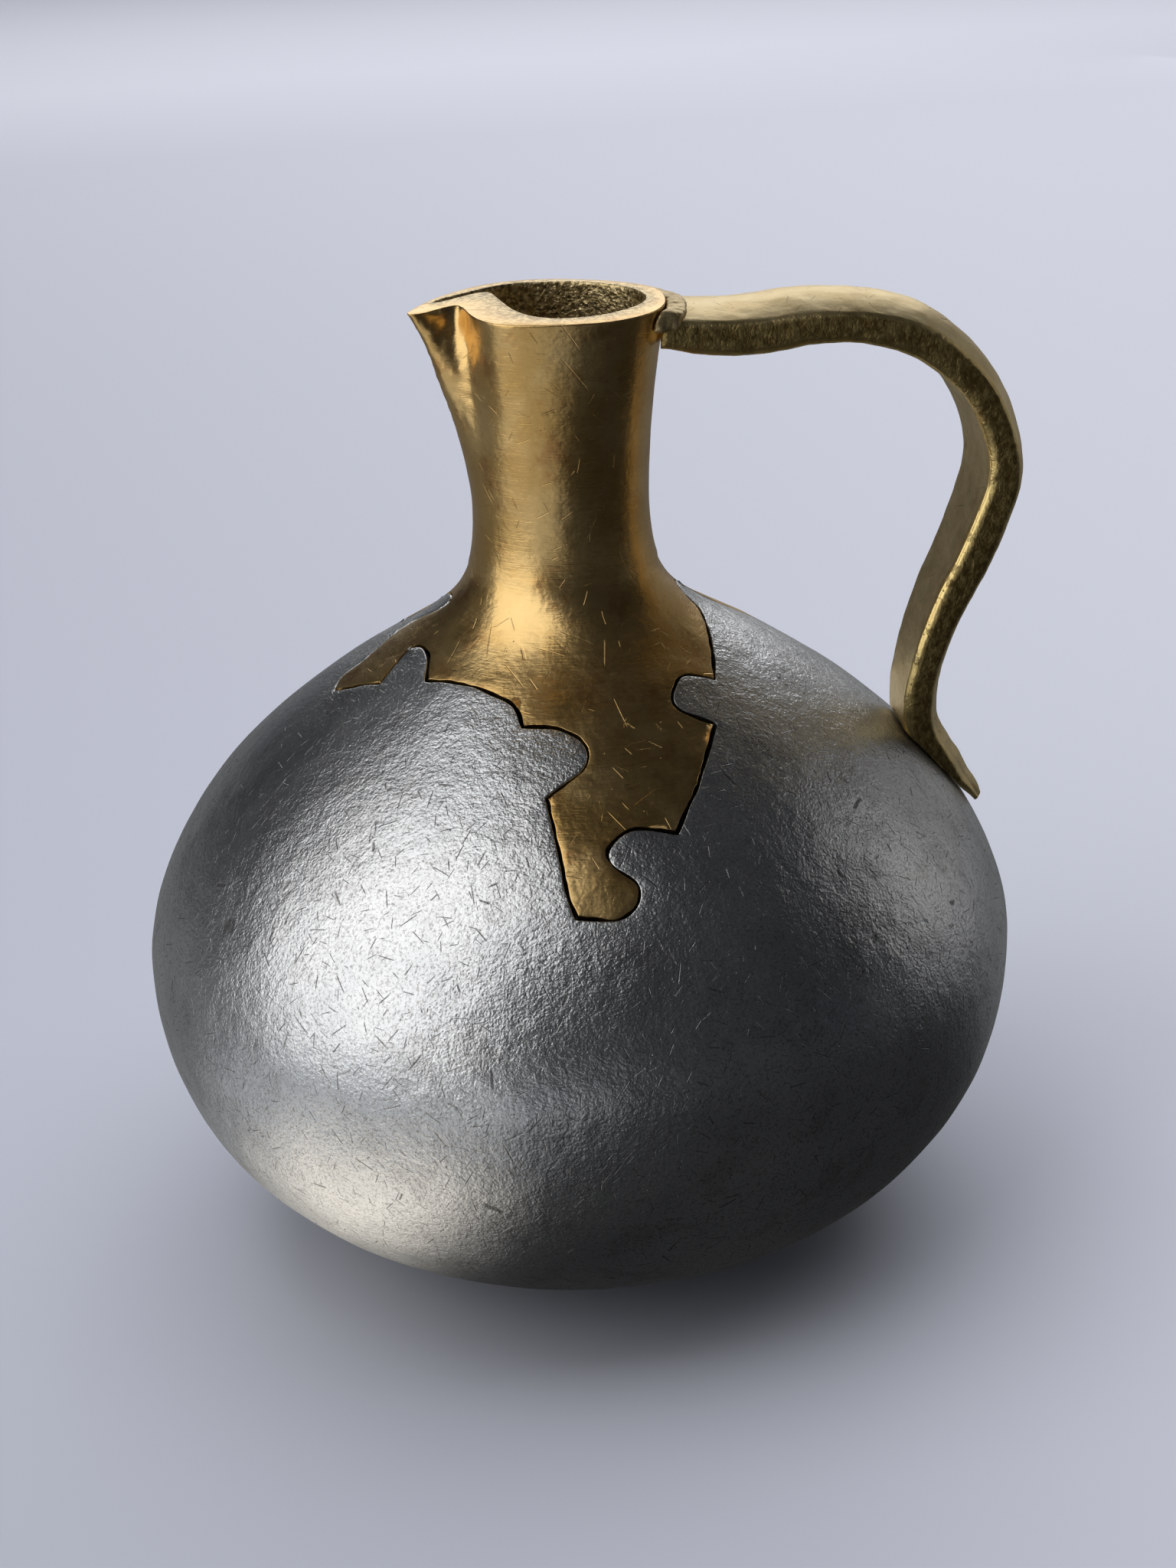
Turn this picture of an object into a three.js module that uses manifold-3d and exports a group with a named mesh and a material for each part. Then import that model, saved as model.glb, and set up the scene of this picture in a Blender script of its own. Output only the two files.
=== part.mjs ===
// A metal pitcher: a round cast aluminium body, a cast brass neck whose wavy skirt is let into
// the body's shoulder, and a bent brass strap handle that runs from the rim to the shoulder.
//
// Millimetres, +Z up. The body's axis is the Z axis and the base rests on z = 0.
// The handle points to +X and the spout to -X. Outlines seen from above run counter-clockwise.

import * as THREE from 'three';
import { mergeVertices } from 'three/addons/utils/BufferGeometryUtils.js';
import Module from 'manifold-3d';

const wasm = await Module();
wasm.setup();

// Body, a squashed ball whose lower and upper halves are superellipses that meet at the equator.
// The flat base cuts the tip off the lower half.
const BODY_RADIUS = 84;
const EQUATOR_HEIGHT = 60;
const BASE_CUT = 2;
const LOWER_POWER = 2.3;
const UPPER_DEPTH = 66.6;
const UPPER_POWER = 1.73;
const WALL = 3.5;
const FLOOR_THICKNESS = 4;
const FLOOR_CORNER = 3.5;

// The flare that joins the shoulder to the neck's waist: how high it starts over the equator, and
// how far its curve leans at each end.
const FLARE_START_RISE = 46;
const FLARE_LOWER_LEAN = 36;
const FLARE_UPPER_LEAN = 23;
const WAIST_HEIGHT = 147;
const WAIST_RADIUS = 16.5;

// Rim, a flat face with the lip's outline outside and the bore's outline inside.
const RIM_HEIGHT = 184.8;
const LIP_GROWTH_POWER = 1.6;

// Gaps between neighbouring pieces.
const SEAM_GAP = 0.35;
const SEAT_GAP = 0.3;
const PIN_GAP = 0.3;

// The skirt's edge seen from above, as runs of points between sharp corners.
const SKIRT_RUNS = [
  [[-44.5, 1.5], [-36.9, -8.4]],
  [[-36.9, -8.4], [-33.6, -5.6], [-30.5, -3.7], [-28.3, -6.2], [-27.7, -10.8], [-28.9, -16.7]],
  [[-28.9, -16.7], [-22.4, -22.9], [-15.8, -30.1], [-14.5, -33.0], [-14.1, -35.9]],
  [[-14.1, -35.9], [-8.3, -37.8], [-4.5, -40.9], [-3.7, -44.2], [-6.1, -47.0], [-12.3, -49.7]],
  [[-12.3, -49.7], [-11.8, -57.4], [-11.6, -63.6], [-10.6, -67.4]],
  [[-10.6, -67.4], [-3.9, -68.7], [-0.2, -67.3], [0.4, -64.6], [-3.3, -61.8], [-3.4, -59.2],
    [1.6, -56.9], [9.2, -57.6]],
  [[9.2, -57.6], [15.2, -48.7], [20.7, -37.4]],
  [[20.7, -37.4], [15.0, -35.8], [13.8, -32.9], [16.8, -28.1], [23.0, -27.0]],
  [[23.0, -27.0], [24.6, -15.2], [24.4, -6.6], [22.0, -3.4], [21.7, 2.0], [24.5, 6.0]],
  [[24.5, 6.0], [31.0, 7.6], [38.5, 12.6], [43.0, 20.5]],
  [[43.0, 20.5], [34.0, 24.0], [29.0, 23.0], [25.5, 26.5], [27.0, 33.0]],
  [[27.0, 33.0], [24.0, 42.0], [17.5, 51.5], [13.0, 60.0]],
  [[13.0, 60.0], [3.0, 62.5], [-3.5, 59.0], [-1.5, 53.5], [4.0, 49.5], [2.0, 44.5], [-6.0, 43.0]],
  [[-6.0, 43.0], [-9.5, 36.5], [-15.0, 31.0], [-19.5, 27.5]],
  [[-19.5, 27.5], [-25.5, 27.0], [-28.5, 22.5], [-26.5, 17.5], [-21.5, 14.0]],
  [[-21.5, 14.0], [-20.9, 8.0], [-21.5, 1.6], [-24.4, 3.4], [-27.8, 8.6], [-31.5, 9.4],
    [-37.8, 6.1], [-42.4, 5.6], [-44.5, 1.5]],
];

// The lip's outer edge and the bore's edge at the rim, from the handle's side round by the back.
const LIP_OUTLINE = [
  [20.4, 0.0], [19.6, 4.4], [17.0, 8.0], [13.1, 11.4], [8.2, 14.2], [3.4, 16.2], [-1.6, 17.3],
  [-5.3, 17.4], [-8.8, 16.7], [-12.4, 15.2], [-16.3, 12.5], [-20.3, 9.0], [-24.4, 3.6],
  [-26.7, -0.6], [-26.2, -1.9], [-24.0, -1.6], [-19.4, 1.5], [-17.2, 2.2], [-16.4, 0.4],
  [-15.9, -4.6], [-14.9, -8.9], [-13.1, -12.4], [-10.1, -14.9], [-6.0, -16.6], [-2.2, -17.6],
  [2.6, -18.3], [7.7, -18.2], [12.6, -16.4], [16.5, -13.2], [19.0, -9.0], [20.2, -4.4],
];
const BORE_OUTLINE = [
  [17.0, 0.0], [15.4, 4.9], [12.4, 8.5], [7.9, 11.9], [3.0, 13.8], [-2.0, 14.9], [-6.6, 14.8],
  [-9.8, 13.5], [-15.6, 10.3], [-20.4, 7.0], [-21.2, 5.8], [-20.0, 5.9], [-15.6, 8.6],
  [-11.6, 10.6], [-10.0, 10.1], [-9.3, 6.5], [-8.6, 1.6], [-7.7, -3.7], [-5.7, -8.7],
  [-2.9, -11.6], [0.2, -12.9], [3.5, -13.1], [7.1, -12.5], [10.8, -10.7], [14.4, -7.7], [16.6, -3.8],
];

// Handle, a bent strap with a crowned outer face. It hangs between the lip's edge and its foot on
// the shoulder. Each station: share of the way up from the foot to the rim, reach outwards from
// the straight line between the two, sideways place, width, thickness at the edges, and crown.
const FOOT_RISE = 37;
const FOOT_HEIGHT = EQUATOR_HEIGHT + FOOT_RISE;
const HANDLE_STATIONS = [
  [0.965, -9.0, -2.0, 21.0, 5.8, 0.6],
  [0.948, -2.2, -2.0, 21.0, 5.8, 0.8],
  [0.928, 4.4, -2.0, 21.0, 6.6, 1.0],
  [0.923, 12.7, -2.0, 21.0, 6.8, 1.3],
  [0.931, 21.5, -2.0, 21.0, 6.5, 1.6],
  [0.927, 29.4, -2.0, 21.0, 6.2, 1.8],
  [0.911, 35.7, -2.0, 21.0, 6.5, 2.0],
  [0.885, 40.5, -2.0, 20.8, 6.7, 2.1],
  [0.841, 44.0, -2.1, 20.5, 6.5, 2.2],
  [0.774, 46.5, -2.2, 20.2, 6.2, 2.2],
  [0.704, 46.7, -2.3, 19.9, 6.2, 2.2],
  [0.621, 45.1, -2.6, 19.4, 6.4, 2.1],
  [0.552, 41.9, -3.0, 18.8, 6.8, 2.0],
  [0.481, 36.6, -3.5, 17.8, 6.9, 1.9],
  [0.379, 28.1, -4.1, 16.5, 6.9, 1.8],
  [0.274, 18.6, -4.8, 15.0, 6.5, 1.7],
  [0.161, 9.8, -5.5, 13.7, 6.0, 1.7],
  [0.077, 4.6, -6.0, 12.8, 6.1, 1.8],
  [0.011, 2.0, -6.0, 12.6, 6.0, 1.8],
  [-0.055, 2.1, -6.0, 12.0, 5.4, 1.8],
  [-0.091, 2.9, -6.0, 10.6, 4.6, 1.8],
  [-0.128, 3.8, -5.8, 8.6, 3.2, 1.8],
  [-0.161, 5.1, -5.6, 6.0, 1.7, 1.5],
  [-0.191, 5.7, -5.5, 3.6, 1.1, 0.9],
];
const HANDLE_CORNER = 1.4;

// Brazing metal that fills the joint between the lip and the end of the strap, near the top.
const BRAZE_REACH = 4;
const BRAZE_DEPTH = 4.2;
const BRAZE_PROUD = 0.4;

// Pin that holds the handle's foot to the shoulder.
const PIN_RADIUS = 2;
const PIN_HEIGHT_OVER_FOOT = -1.6;
const PIN_DEPTH_IN_FOOT = 2.2;
const PIN_DEPTH_IN_WALL = 2.6;

// How finely the curves are cut.
const ROUND_STEPS = 60;
const LOWER_STEPS = 8;
const UPPER_STEPS = 8;
const FLARE_STEPS = 10;
const NECK_STEPS = 7;
const SKIRT_STEPS_PER_POINT = 2;
const HANDLE_STEPS = 36;
const CORNER_STEPS = 2;
const CROWN_STEPS = 4;
const PIN_SIDES = 24;

// How far a cutting shape runs past the face that it cuts.
const CUT_OVERRUN = 1;

// Solids made from geometries, and geometries made from solids.

function toSolid(geometry) {
  const bare = new THREE.BufferGeometry();
  bare.setAttribute('position', geometry.getAttribute('position').clone());
  if (geometry.index) bare.setIndex(geometry.index.clone());
  const welded = mergeVertices(bare, 1e-4);
  const position = welded.getAttribute('position');
  const index = welded.index.array;
  const corners = [];
  for (let i = 0; i < index.length; i += 3) {
    const [a, b, c] = [index[i], index[i + 1], index[i + 2]];
    if (a !== b && b !== c && c !== a) corners.push(a, b, c);
  }
  return new wasm.Manifold(new wasm.Mesh({
    numProp: 3,
    vertProperties: new Float32Array(position.array),
    triVerts: new Uint32Array(corners),
  }));
}

function toGeometry(solid) {
  const mesh = solid.getMesh();
  const geometry = new THREE.BufferGeometry();
  geometry.setAttribute('position', new THREE.BufferAttribute(mesh.vertProperties, 3));
  geometry.setIndex(new THREE.BufferAttribute(mesh.triVerts, 1));
  geometry.computeVertexNormals();
  return geometry;
}

// A closed solid through a list of rings of points, capped at both ends. Each ring has the same
// number of points and runs counter-clockwise seen from the far end of the stack.
function stackRings(rings) {
  const count = rings[0].length;
  const positions = [];
  const index = [];
  for (const ring of rings) {
    for (const p of ring) positions.push(p.x, p.y, p.z);
  }
  for (let k = 0; k + 1 < rings.length; k += 1) {
    for (let i = 0; i < count; i += 1) {
      const j = (i + 1) % count;
      const [a, b] = [k * count + i, k * count + j];
      const [c, d] = [a + count, b + count];
      index.push(a, b, d, a, d, c);
    }
  }
  addCap(rings[0], 0, true);
  addCap(rings[rings.length - 1], (rings.length - 1) * count, false);

  function addCap(ring, start, turned) {
    const middle = positions.length / 3;
    const centre = new THREE.Vector3();
    for (const p of ring) centre.addScaledVector(p, 1 / count);
    positions.push(centre.x, centre.y, centre.z);
    for (let i = 0; i < count; i += 1) {
      const j = (i + 1) % count;
      if (turned) index.push(middle, start + j, start + i);
      else index.push(middle, start + i, start + j);
    }
  }

  const geometry = new THREE.BufferGeometry();
  geometry.setAttribute('position', new THREE.Float32BufferAttribute(positions, 3));
  geometry.setIndex(index);
  return geometry;
}

// The vessel: one wall from the base to the neck's waist, which the seam shares out.

// The superellipse's point at a share t of its quarter turn from the equator.
function superellipsePoint(depth, power, t) {
  const radius = BODY_RADIUS * Math.cos(t) ** (2 / power);
  const height = depth * Math.sin(t) ** (2 / power);
  return new THREE.Vector2(radius, height);
}

function outerProfile() {
  const points = [];
  const lowerDepth = EQUATOR_HEIGHT + BASE_CUT;
  const baseTurn = Math.asin((EQUATOR_HEIGHT / lowerDepth) ** (LOWER_POWER / 2));
  for (let i = LOWER_STEPS; i > 0; i -= 1) {
    const p = superellipsePoint(lowerDepth, LOWER_POWER, baseTurn * i / LOWER_STEPS);
    points.push(new THREE.Vector2(p.x, EQUATOR_HEIGHT - p.y));
  }
  const flareTurn = Math.asin((FLARE_START_RISE / UPPER_DEPTH) ** (UPPER_POWER / 2));
  for (let i = 0; i <= UPPER_STEPS; i += 1) {
    const p = superellipsePoint(UPPER_DEPTH, UPPER_POWER, flareTurn * i / UPPER_STEPS);
    points.push(new THREE.Vector2(p.x, EQUATOR_HEIGHT + p.y));
  }
  const start = points[points.length - 1];
  const before = superellipsePoint(UPPER_DEPTH, UPPER_POWER, flareTurn * 0.99);
  const lean = new THREE.Vector2(start.x - before.x, start.y - EQUATOR_HEIGHT - before.y);
  lean.setLength(FLARE_LOWER_LEAN);
  const flare = new THREE.CubicBezierCurve(
    start.clone(),
    start.clone().add(lean),
    new THREE.Vector2(WAIST_RADIUS, WAIST_HEIGHT - FLARE_UPPER_LEAN),
    new THREE.Vector2(WAIST_RADIUS, WAIST_HEIGHT),
  );
  points.push(...flare.getPoints(FLARE_STEPS).slice(1));
  return points;
}

// The profile moved square to itself: outwards for a positive distance, inwards for a negative one.
function offsetProfile(points, distance) {
  return points.map((p, i) => {
    const before = points[Math.max(i - 1, 0)];
    const after = points[Math.min(i + 1, points.length - 1)];
    const along = i === points.length - 1
      ? new THREE.Vector2(0, 1)
      : after.clone().sub(before).normalize();
    return new THREE.Vector2(p.x + along.y * distance, p.y - along.x * distance);
  });
}

// Where the outer profile passes a height on the upper half, and the direction square to it there.
function shoulderAt(height) {
  const outer = outerProfile();
  const above = outer.findIndex((p) => p.y > height);
  const [low, high] = [outer[above - 1], outer[above]];
  const point = low.clone().lerp(high, (height - low.y) / (high.y - low.y));
  const along = high.clone().sub(low).normalize();
  return { point, outward: new THREE.Vector2(along.y, -along.x) };
}

function lathe(points) {
  const geometry = new THREE.LatheGeometry(points, ROUND_STEPS);
  geometry.rotateX(Math.PI / 2);
  return geometry;
}

function vesselWall() {
  const outer = outerProfile();
  const inner = offsetProfile(outer, -WALL).filter((p) => p.y > FLOOR_THICKNESS + CUT_OVERRUN);
  const profile = [
    new THREE.Vector2(0, 0),
    ...outer,
    ...inner.reverse(),
    new THREE.Vector2(inner[inner.length - 1].x - FLOOR_CORNER, FLOOR_THICKNESS),
    new THREE.Vector2(0, FLOOR_THICKNESS),
  ];
  return toSolid(lathe(profile));
}

// The space that the vessel fills, grown by a gap, for cutting what rests against it.
function vesselSpace(gap) {
  const outer = offsetProfile(outerProfile(), gap);
  const profile = [
    new THREE.Vector2(0, outer[0].y),
    ...outer,
    new THREE.Vector2(0, outer[outer.length - 1].y),
  ];
  return toSolid(lathe(profile));
}

// The skirt's outline, which the body shares with a gap all round.

function skirtOutline() {
  const loop = [];
  for (const run of SKIRT_RUNS) {
    const points = run.map(([x, y]) => new THREE.Vector2(x, y));
    const steps = run.length === 2 ? 2 : (run.length - 1) * SKIRT_STEPS_PER_POINT;
    loop.push(...new THREE.SplineCurve(points).getPoints(steps).slice(0, -1));
  }
  return loop;
}

function growLoop(loop, distance) {
  return loop.map((p, i) => {
    const before = loop[(i + loop.length - 1) % loop.length];
    const after = loop[(i + 1) % loop.length];
    const inward = p.clone().sub(before).normalize();
    const outward = after.clone().sub(p).normalize();
    const along = inward.clone().add(outward).normalize();
    const miter = Math.max(along.dot(outward), 0.5);
    return new THREE.Vector2(
      p.x + along.y * distance / miter,
      p.y - along.x * distance / miter,
    );
  });
}

function skirtPrism(grow) {
  const shape = new THREE.Shape(growLoop(skirtOutline(), grow));
  const height = WAIST_HEIGHT + CUT_OVERRUN - EQUATOR_HEIGHT;
  const geometry = new THREE.ExtrudeGeometry(shape, { depth: height, bevelEnabled: false });
  geometry.translate(0, 0, EQUATOR_HEIGHT);
  return toSolid(geometry);
}

// The neck, from the waist's circle to the rim's outline.

// A ring of points round the rim's outline, in step with the lathe's own points.
function rimRing(outline) {
  const points = outline.map(([x, y]) => new THREE.Vector3(x, y, 0));
  const curve = new THREE.CatmullRomCurve3(points, true, 'centripetal');
  curve.arcLengthDivisions = 800;
  const spaced = curve.getSpacedPoints(ROUND_STEPS).slice(0, -1);
  const quarter = ROUND_STEPS / 4;
  return spaced.map((_, i) => spaced[(i + ROUND_STEPS - quarter) % ROUND_STEPS]);
}

function roundRing(radius) {
  return Array.from({ length: ROUND_STEPS }, (_, i) => {
    const turn = 2 * Math.PI * i / ROUND_STEPS;
    return new THREE.Vector3(radius * Math.sin(turn), -radius * Math.cos(turn), 0);
  });
}

// The outline comes in late on the way up, as the lip flares.
function neckRings(radius, outline, grow) {
  const low = roundRing(radius);
  const high = rimRing(outline);
  const rings = [];
  for (let k = 0; k <= NECK_STEPS; k += 1) {
    const t = k / NECK_STEPS;
    const share = t ** LIP_GROWTH_POWER;
    const z = WAIST_HEIGHT + (RIM_HEIGHT - WAIST_HEIGHT) * t;
    rings.push(low.map((p, i) => {
      const q = p.clone().lerp(high[i], share);
      const reach = q.length();
      return q.multiplyScalar((reach + grow) / reach).setZ(z);
    }));
  }
  return rings;
}

function raised(ring, height) {
  return ring.map((p) => p.clone().setZ(height));
}

function neckSolid() {
  const outside = toSolid(stackRings(neckRings(WAIST_RADIUS, LIP_OUTLINE, 0)));
  const boreRings = neckRings(WAIST_RADIUS - WALL, BORE_OUTLINE, 0);
  const bore = toSolid(stackRings([
    raised(boreRings[0], WAIST_HEIGHT - CUT_OVERRUN),
    ...boreRings,
    raised(boreRings[NECK_STEPS], RIM_HEIGHT + CUT_OVERRUN),
  ]));
  const skirt = vesselWall().intersect(skirtPrism(0));
  return skirt.add(outside.subtract(bore));
}

// The space that the neck fills, grown by a gap and carried on above the rim.
function neckSpace(gap) {
  const rings = neckRings(WAIST_RADIUS, LIP_OUTLINE, gap);
  const above = raised(rings[NECK_STEPS], RIM_HEIGHT + WALL + CUT_OVERRUN);
  return toSolid(stackRings([...rings, above]));
}

// The handle.

// The strap's section: the first number runs along its width, the second outwards. The outer face
// is crowned between its two corners.
function strapSection(width, thickness, crown) {
  const corner = Math.min(HANDLE_CORNER, thickness * 0.45);
  const points = [];
  for (const [sx, sy, start] of [[1, 1, 0], [-1, 1, 90], [-1, -1, 180], [1, -1, 270]]) {
    for (let i = 0; i <= CORNER_STEPS; i += 1) {
      const turn = THREE.MathUtils.degToRad(start + 90 * i / CORNER_STEPS);
      points.push([
        sx * (width / 2 - corner) + corner * Math.cos(turn),
        sy * (thickness / 2 - corner) + corner * Math.sin(turn),
      ]);
    }
    if (start === 0) {
      for (let i = 1; i < CROWN_STEPS; i += 1) {
        const across = 1 - 2 * i / CROWN_STEPS;
        points.push([across * (width / 2 - corner), thickness / 2 + crown * (1 - across ** 2)]);
      }
    }
  }
  return points;
}

// The strap along its path, grown all round by a distance.
function strapSolid(grow) {
  const foot = shoulderAt(FOOT_HEIGHT).point;
  const lip = new THREE.Vector2(LIP_OUTLINE[0][0], RIM_HEIGHT);
  const places = HANDLE_STATIONS.map(([share, reach, side]) => new THREE.Vector3(
    foot.x + (lip.x - foot.x) * share + reach,
    side,
    foot.y + (lip.y - foot.y) * share,
  ));
  const sections = HANDLE_STATIONS.map(([, , , width, thickness, crown]) => (
    new THREE.Vector3(width + 2 * grow, thickness + 2 * grow, crown)
  ));
  const path = new THREE.CatmullRomCurve3(places, false, 'centripetal');
  const sizes = new THREE.CatmullRomCurve3(sections, false, 'centripetal');
  const rings = [];
  for (let k = 0; k <= HANDLE_STEPS; k += 1) {
    const t = k / HANDLE_STEPS;
    const centre = path.getPoint(t);
    const along = path.getTangent(t);
    const outward = new THREE.Vector3(-along.z, 0, along.x).normalize();
    const size = sizes.getPoint(t);
    rings.push(strapSection(size.x, size.y, size.z).map(([across, out]) => (
      centre.clone().addScaledVector(outward, out).add(new THREE.Vector3(0, across, 0))
    )));
  }
  return toSolid(stackRings(rings));
}

function handleSolid() {
  return strapSolid(0)
    .subtract(vesselSpace(SEAT_GAP))
    .subtract(neckSpace(BRAZE_REACH + SEAT_GAP))
    .subtract(toSolid(placedPin(PIN_GAP)));
}

// The brazing metal stands a little proud of the strap and stops short of the strap's underside.
function brazeSolid() {
  const size = 2 * BODY_RADIUS;
  const below = new THREE.BoxGeometry(size, size, size);
  below.translate(0, 0, RIM_HEIGHT - BRAZE_DEPTH - size / 2);
  return strapSolid(BRAZE_PROUD)
    .intersect(neckSpace(BRAZE_REACH))
    .subtract(neckSpace(SEAT_GAP))
    .subtract(toSolid(below));
}

// The foot pin, a cylinder along its own Y axis whose origin is on the body's surface.

function pinGeometry(gap) {
  const length = PIN_DEPTH_IN_FOOT + PIN_DEPTH_IN_WALL + 2 * gap;
  const radius = PIN_RADIUS + gap;
  const geometry = new THREE.CylinderGeometry(radius, radius, length, PIN_SIDES);
  geometry.translate(0, (PIN_DEPTH_IN_FOOT - PIN_DEPTH_IN_WALL) / 2, 0);
  return geometry;
}

// Sets an object on the shoulder under the handle's foot, with its Y axis square to the surface.
function seatOnShoulder(object) {
  const { point, outward } = shoulderAt(FOOT_HEIGHT + PIN_HEIGHT_OVER_FOOT);
  const footStation = HANDLE_STATIONS.find(([share]) => share < 0);
  const turn = Math.asin(footStation[2] / point.x);
  object.position.set(point.x * Math.cos(turn), point.x * Math.sin(turn), point.y);
  object.quaternion.setFromUnitVectors(
    new THREE.Vector3(0, 1, 0),
    new THREE.Vector3(outward.x * Math.cos(turn), outward.x * Math.sin(turn), outward.y),
  );
}

function placedPin(gap) {
  const place = new THREE.Object3D();
  seatOnShoulder(place);
  place.updateMatrix();
  return pinGeometry(gap).applyMatrix4(place.matrix);
}

// The pieces.

function piece(name, geometry, color, roughness) {
  const material = new THREE.MeshStandardMaterial({ color, roughness, metalness: 1 });
  const mesh = new THREE.Mesh(geometry, material);
  mesh.name = name;
  return mesh;
}

const bodySolid = vesselWall()
  .subtract(skirtPrism(SEAM_GAP))
  .subtract(toSolid(placedPin(PIN_GAP)));

const vessel = new THREE.Group();
vessel.add(piece('body_shell', toGeometry(bodySolid), 0xb4b8bc, 0.32));
vessel.add(piece('neck', toGeometry(neckSolid()), 0xb8965a, 0.34));

const grip = new THREE.Group();
const footPin = piece('foot_pin', pinGeometry(0), 0xb8965a, 0.4);
seatOnShoulder(footPin);
grip.add(piece('handle', toGeometry(handleSolid()), 0xab9468, 0.42));
grip.add(piece('rim_braze', toGeometry(brazeSolid()), 0x9c8a66, 0.6));
grip.add(footPin);

const pitcher = new THREE.Group();
pitcher.name = 'pitcher';
pitcher.add(vessel, grip);

export default pitcher;
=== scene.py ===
"""The looks of a metal pitcher: a cast aluminium belly, a cast brass neck with a wavy skirt, and a
brass strap handle. Shapes are worked out in millimetres and stored in metres."""

import math

import bpy
import numpy as np
from mathutils import Matrix, Vector, kdtree, noise
from mathutils.geometry import delaunay_2d_cdt


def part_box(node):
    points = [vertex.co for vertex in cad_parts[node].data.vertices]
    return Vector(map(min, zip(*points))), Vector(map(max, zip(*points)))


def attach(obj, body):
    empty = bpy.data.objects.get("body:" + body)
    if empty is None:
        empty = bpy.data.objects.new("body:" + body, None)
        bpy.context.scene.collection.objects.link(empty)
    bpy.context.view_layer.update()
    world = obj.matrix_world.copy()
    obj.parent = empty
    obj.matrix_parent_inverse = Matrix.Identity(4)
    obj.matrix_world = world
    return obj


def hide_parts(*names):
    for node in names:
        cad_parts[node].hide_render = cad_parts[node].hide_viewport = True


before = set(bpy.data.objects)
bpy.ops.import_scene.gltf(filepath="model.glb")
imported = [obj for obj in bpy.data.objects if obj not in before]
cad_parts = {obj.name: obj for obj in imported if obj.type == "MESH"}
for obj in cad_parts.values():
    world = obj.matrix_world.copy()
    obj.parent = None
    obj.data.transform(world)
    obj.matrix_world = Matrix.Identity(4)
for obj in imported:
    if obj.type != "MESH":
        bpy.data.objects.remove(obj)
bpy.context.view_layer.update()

MM = 0.001
BODY_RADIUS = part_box("body_shell")[1].x / MM
RIM_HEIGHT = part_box("neck")[1].z / MM

# The belly, two superellipse halves that meet at the equator, with a flat base.
EQUATOR_HEIGHT = 60.0
BASE_CUT = 2.0
LOWER_POWER = 2.3
UPPER_DEPTH = 66.6
UPPER_POWER = 1.73
WALL = 3.5

# The flare between the shoulder and the neck's waist.
FLARE_START_RISE = 46.0
FLARE_LOWER_LEAN = 36.0
FLARE_UPPER_LEAN = 23.0
WAIST_HEIGHT = 147.0
WAIST_RADIUS = 16.5
LIP_GROWTH_POWER = 1.6
SKIRT_TOP = 135

# The skirt's edge seen from above, as runs of points between sharp corners.
SKIRT_RUNS = [
    [(-44.5, 1.5), (-36.9, -8.4)],
    [(-36.9, -8.4), (-33.6, -5.6), (-30.5, -3.7), (-28.3, -6.2), (-27.7, -10.8), (-28.9, -16.7)],
    [(-28.9, -16.7), (-22.4, -22.9), (-15.8, -30.1), (-14.5, -33.0), (-14.1, -35.9)],
    [(-14.1, -35.9), (-8.3, -37.8), (-4.5, -40.9), (-3.7, -44.2), (-6.1, -47.0), (-12.3, -49.7)],
    [(-12.3, -49.7), (-11.8, -57.4), (-11.6, -63.6), (-10.6, -67.4)],
    [(-10.6, -67.4), (-3.9, -68.7), (-0.2, -67.3), (0.4, -64.6), (-3.3, -61.8), (-3.4, -59.2),
     (1.6, -56.9), (9.2, -57.6)],
    [(9.2, -57.6), (15.2, -48.7), (20.7, -37.4)],
    [(20.7, -37.4), (15.0, -35.8), (13.8, -32.9), (16.8, -28.1), (23.0, -27.0)],
    [(23.0, -27.0), (24.6, -15.2), (24.4, -6.6), (22.0, -3.4), (21.7, 2.0), (24.5, 6.0)],
    [(24.5, 6.0), (31.0, 7.6), (38.5, 12.6), (43.0, 20.5)],
    [(43.0, 20.5), (34.0, 24.0), (29.0, 23.0), (25.5, 26.5), (27.0, 33.0)],
    [(27.0, 33.0), (24.0, 42.0), (17.5, 51.5), (13.0, 60.0)],
    [(13.0, 60.0), (3.0, 62.5), (-3.5, 59.0), (-1.5, 53.5), (4.0, 49.5), (2.0, 44.5), (-6.0, 43.0)],
    [(-6.0, 43.0), (-9.5, 36.5), (-15.0, 31.0), (-19.5, 27.5)],
    [(-19.5, 27.5), (-25.5, 27.0), (-28.5, 22.5), (-26.5, 17.5), (-21.5, 14.0)],
    [(-21.5, 14.0), (-20.9, 8.0), (-21.5, 1.6), (-24.4, 3.4), (-27.8, 8.6), (-31.5, 9.4),
     (-37.8, 6.1), (-42.4, 5.6), (-44.5, 1.5)],
]

# The lip's outer edge and the bore's edge at the rim.
LIP_OUTLINE = [
    (20.4, 0.0), (19.6, 4.4), (17.0, 8.0), (13.1, 11.4), (8.2, 14.2), (3.4, 16.2), (-1.6, 17.3),
    (-5.3, 17.4), (-8.8, 16.7), (-12.4, 15.2), (-16.3, 12.5), (-20.3, 9.0), (-24.4, 3.6),
    (-26.7, -0.6), (-26.2, -1.9), (-24.0, -1.6), (-19.4, 1.5), (-17.2, 2.2), (-16.4, 0.4),
    (-15.9, -4.6), (-14.9, -8.9), (-13.1, -12.4), (-10.1, -14.9), (-6.0, -16.6), (-2.2, -17.6),
    (2.6, -18.3), (7.7, -18.2), (12.6, -16.4), (16.5, -13.2), (19.0, -9.0), (20.2, -4.4),
]
# The same outline lower down, where the fold beside the spout is shallower, and how far below the
# rim the one has turned into the other.
FOLD_FADE = 12.0
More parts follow.
